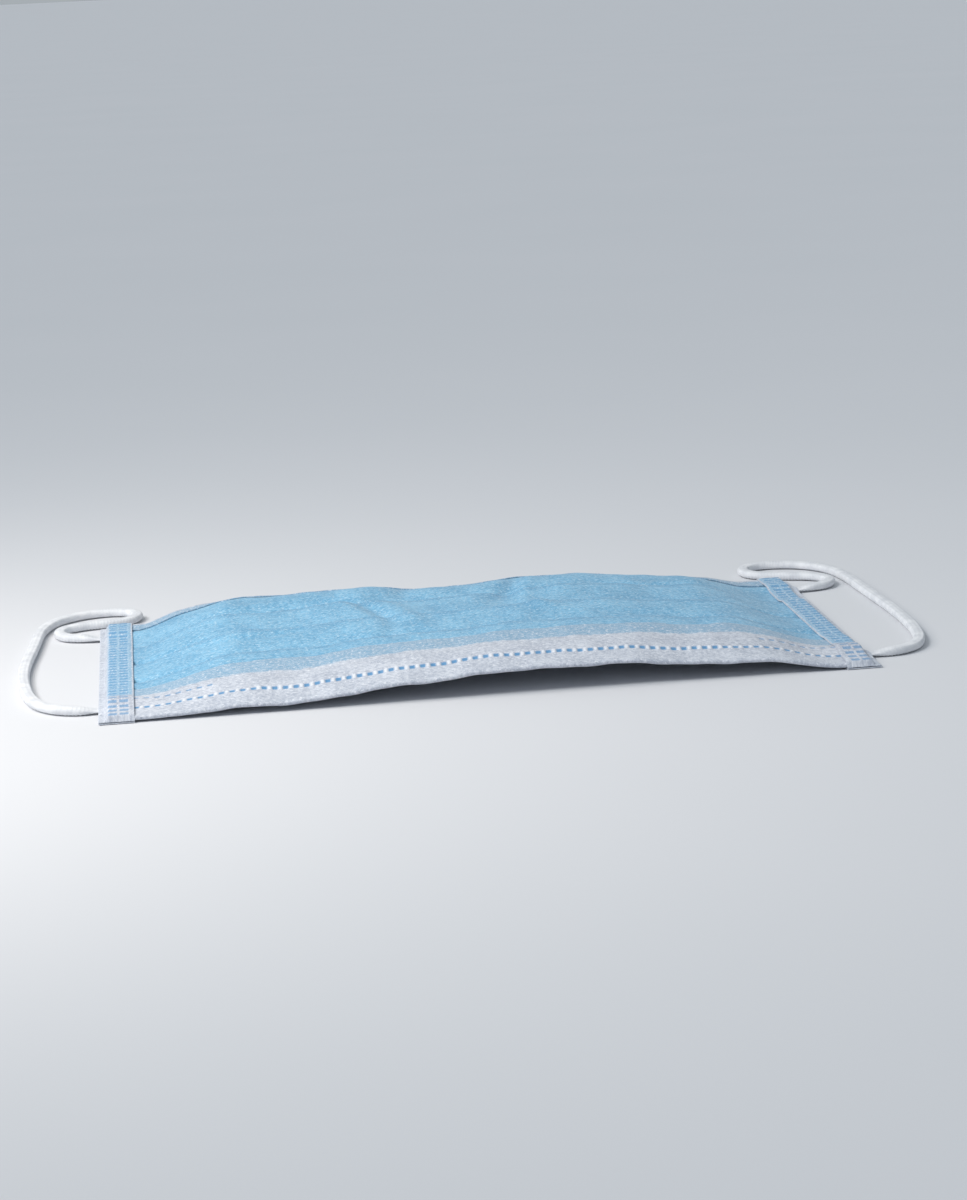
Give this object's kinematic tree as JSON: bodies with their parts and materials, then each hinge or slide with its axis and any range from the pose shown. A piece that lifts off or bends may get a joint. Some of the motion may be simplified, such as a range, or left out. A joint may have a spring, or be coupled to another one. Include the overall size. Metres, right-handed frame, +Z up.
{
  "type": "surgical face mask",
  "caption": "Pleated surgical face mask lying closed: blue outer cover, white lining folded over both long edges, side bindings, nose wire and elastic ear loops.",
  "frame": {"origin": "on the surface that it lies on, under the middle of the cloth", "axes": "+X along the long side, +Y from the nose edge to the chin edge, +Z up through the coloured face"},
  "size_m": [0.2119, 0.1158, 0.0103],
  "materials": {
    "cover_cloth": "sky-blue spunbond with a fine diamond emboss",
    "lining_cloth": "soft white nonwoven",
    "binding_cloth": "thin sheer white nonwoven",
    "elastic": "white ribbed knitted elastic",
    "wire": "plastic-coated"
  },
  "bodies": {
    "root": {"outer_cover": "cover_cloth", "inner_lining": "lining_cloth", "nose_wire": "wire", "side_binding_left": "binding_cloth", "side_binding_right": "binding_cloth", "ear_loop_left": "elastic", "ear_loop_right": "elastic"}
  },
  "joints": []
}
